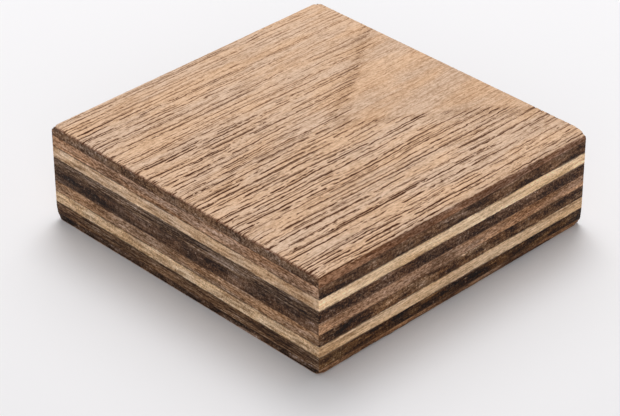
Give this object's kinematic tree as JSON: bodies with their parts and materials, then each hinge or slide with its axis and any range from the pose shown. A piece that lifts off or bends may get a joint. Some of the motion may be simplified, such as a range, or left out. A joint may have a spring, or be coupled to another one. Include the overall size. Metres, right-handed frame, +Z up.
{
  "type": "plywood sample block",
  "caption": "Small near-square block of thick hardwood plywood, cross-laid veneers glued face to face, sawn ends, rounded long-grain edges; lies flat as a material sample.",
  "frame": {"origin": "centre of the bottom face, on the surface that the block lies on", "axes": "+Z up through the board's thickness, show face on top; X along the grain of the show face, from saw cut to saw cut; +Y across that grain, towards the edge with the tighter top arris"},
  "size_m": [0.0608, 0.0628, 0.018],
  "materials": {
    "face_veneer": "open-pored raw hardwood, sanded",
    "red_brown_ply": "raw hardwood edge, sawn and sanded",
    "pale_ply": "raw pale hardwood edge, sawn and sanded",
    "dark_ply": "raw dark hardwood edge, sawn and sanded",
    "centre_ply": "raw hardwood edge, sawn and sanded",
    "back_veneer": "raw hardwood, sanded"
  },
  "bodies": {
    "root": {"face_veneer": "face_veneer", "upper_crossband": "red_brown_ply", "upper_pale_ply": "pale_ply", "upper_inner_crossband": "dark_ply", "centre_ply": "centre_ply", "lower_inner_crossband": "red_brown_ply", "lower_pale_ply": "pale_ply", "lower_crossband": "dark_ply", "back_veneer": "back_veneer"}
  },
  "joints": []
}
